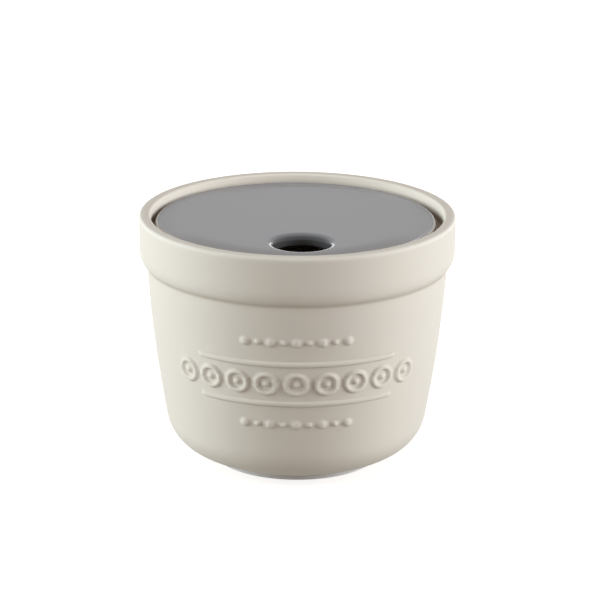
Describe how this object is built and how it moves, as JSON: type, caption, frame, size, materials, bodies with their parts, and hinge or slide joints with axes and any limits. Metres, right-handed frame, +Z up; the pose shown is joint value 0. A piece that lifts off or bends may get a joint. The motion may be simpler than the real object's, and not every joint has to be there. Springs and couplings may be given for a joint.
{
  "type": "garlic keeper",
  "caption": "Round stoneware keeper pot with a banded rim and a flat drop-in lid with a finger and air hole, for storing garlic bulbs.",
  "frame": {"origin": "centre of the foot's underside, on the surface the pot stands on", "axes": "+Z up along the pot's axis; -Y the front, with the relief panel and the lid's hole; +X to the right seen from the front"},
  "size_m": [0.13, 0.13, 0.104],
  "materials": {
    "cream_glaze": "gloss",
    "grey_glaze": "gloss"
  },
  "bodies": {
    "pot": {"pot": "cream_glaze"},
    "lid": {"lid": "grey_glaze"}
  },
  "joints": [
    {"name": "lid_lift", "type": "slide", "parent": "pot", "child": "lid", "axis": [0, 0, 1], "range_m": [0, 0.12]}
  ]
}
